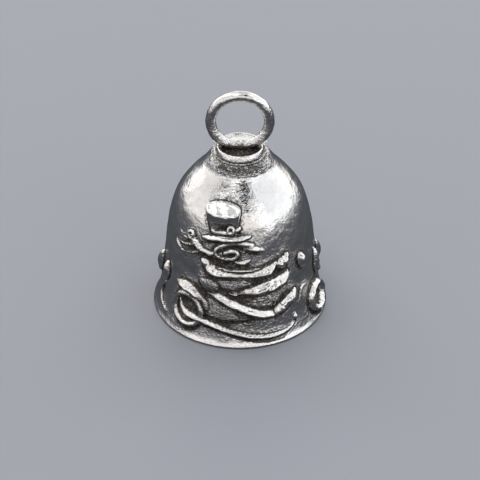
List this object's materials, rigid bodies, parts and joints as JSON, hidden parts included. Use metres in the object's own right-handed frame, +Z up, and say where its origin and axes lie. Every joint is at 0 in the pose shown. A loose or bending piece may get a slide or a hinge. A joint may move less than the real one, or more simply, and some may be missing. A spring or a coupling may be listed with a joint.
{
  "type": "hanging bell",
  "caption": "Small polished pewter bell with a flared rim, raised top hat and scrollwork, a collar and hanging ring on its crown, and a clapper on a wire link inside.",
  "frame": {"origin": "centre of the rim's foot, on the surface that the bell stands on", "axes": "+Z up through the hanging ring, -Y out of the front, where the raised hat is, and +X to the right of someone who faces the front; the hanging ring lies in the plane of X and Z"},
  "size_m": [0.0254, 0.0254, 0.0358],
  "materials": {
    "polished_pewter": "polished",
    "cast_pewter": "satin",
    "steel_wire": "gloss"
  },
  "bodies": {
    "bell": {"bell_cup": "polished_pewter", "collar": "polished_pewter", "hanging_ring": "polished_pewter", "clapper_staple": "steel_wire", "back_cord": "polished_pewter", "back_knot_1": "polished_pewter", "back_knot_2": "polished_pewter", "back_leaf_1": "polished_pewter", "back_leaf_2": "polished_pewter", "back_swag_lower": "polished_pewter", "back_swag_upper": "polished_pewter", "base_bead": "polished_pewter", "base_cord": "polished_pewter", "fern_curl": "polished_pewter", "fern_leaf": "polished_pewter", "fern_stem": "polished_pewter", "frond_1": "polished_pewter", "frond_2": "polished_pewter", "frond_3": "polished_pewter", "frond_4": "polished_pewter", "hat_band": "polished_pewter", "hat_brim": "polished_pewter", "hat_buckle": "polished_pewter", "hat_crown": "polished_pewter", "hat_top": "polished_pewter", "left_arc": "polished_pewter", "left_drop_1": "polished_pewter", "left_drop_2": "polished_pewter", "left_leaf": "polished_pewter", "left_ring": "polished_pewter", "lower_swag": "polished_pewter", "lower_swag_end": "polished_pewter", "middle_knot": "polished_pewter", "middle_swag": "polished_pewter", "middle_swag_tail": "polished_pewter", "ribbon": "polished_pewter", "ribbon_knot_1": "polished_pewter", "ribbon_knot_2": "polished_pewter", "right_arc": "polished_pewter", "right_ring": "polished_pewter", "right_ring_boss": "polished_pewter", "side_drop_1": "polished_pewter", "side_drop_2": "polished_pewter", "side_drop_3": "polished_pewter", "small_leaf": "polished_pewter", "volute": "polished_pewter", "volute_leaf": "polished_pewter"},
    "link": {"jump_ring": "steel_wire"},
    "clapper": {"clapper_wire": "steel_wire", "clapper_ball": "cast_pewter"}
  },
  "joints": [
    {"name": "link_swing", "type": "hinge", "parent": "bell", "child": "link", "pos_m": [0, 0, 0.0214], "axis": [1, 0, 0], "range_deg": [-20, 20]},
    {"name": "clapper_swing", "type": "hinge", "parent": "link", "child": "clapper", "pos_m": [0, 0, 0.01961], "axis": [0, 1, 0], "range_deg": [-20, 20]}
  ]
}
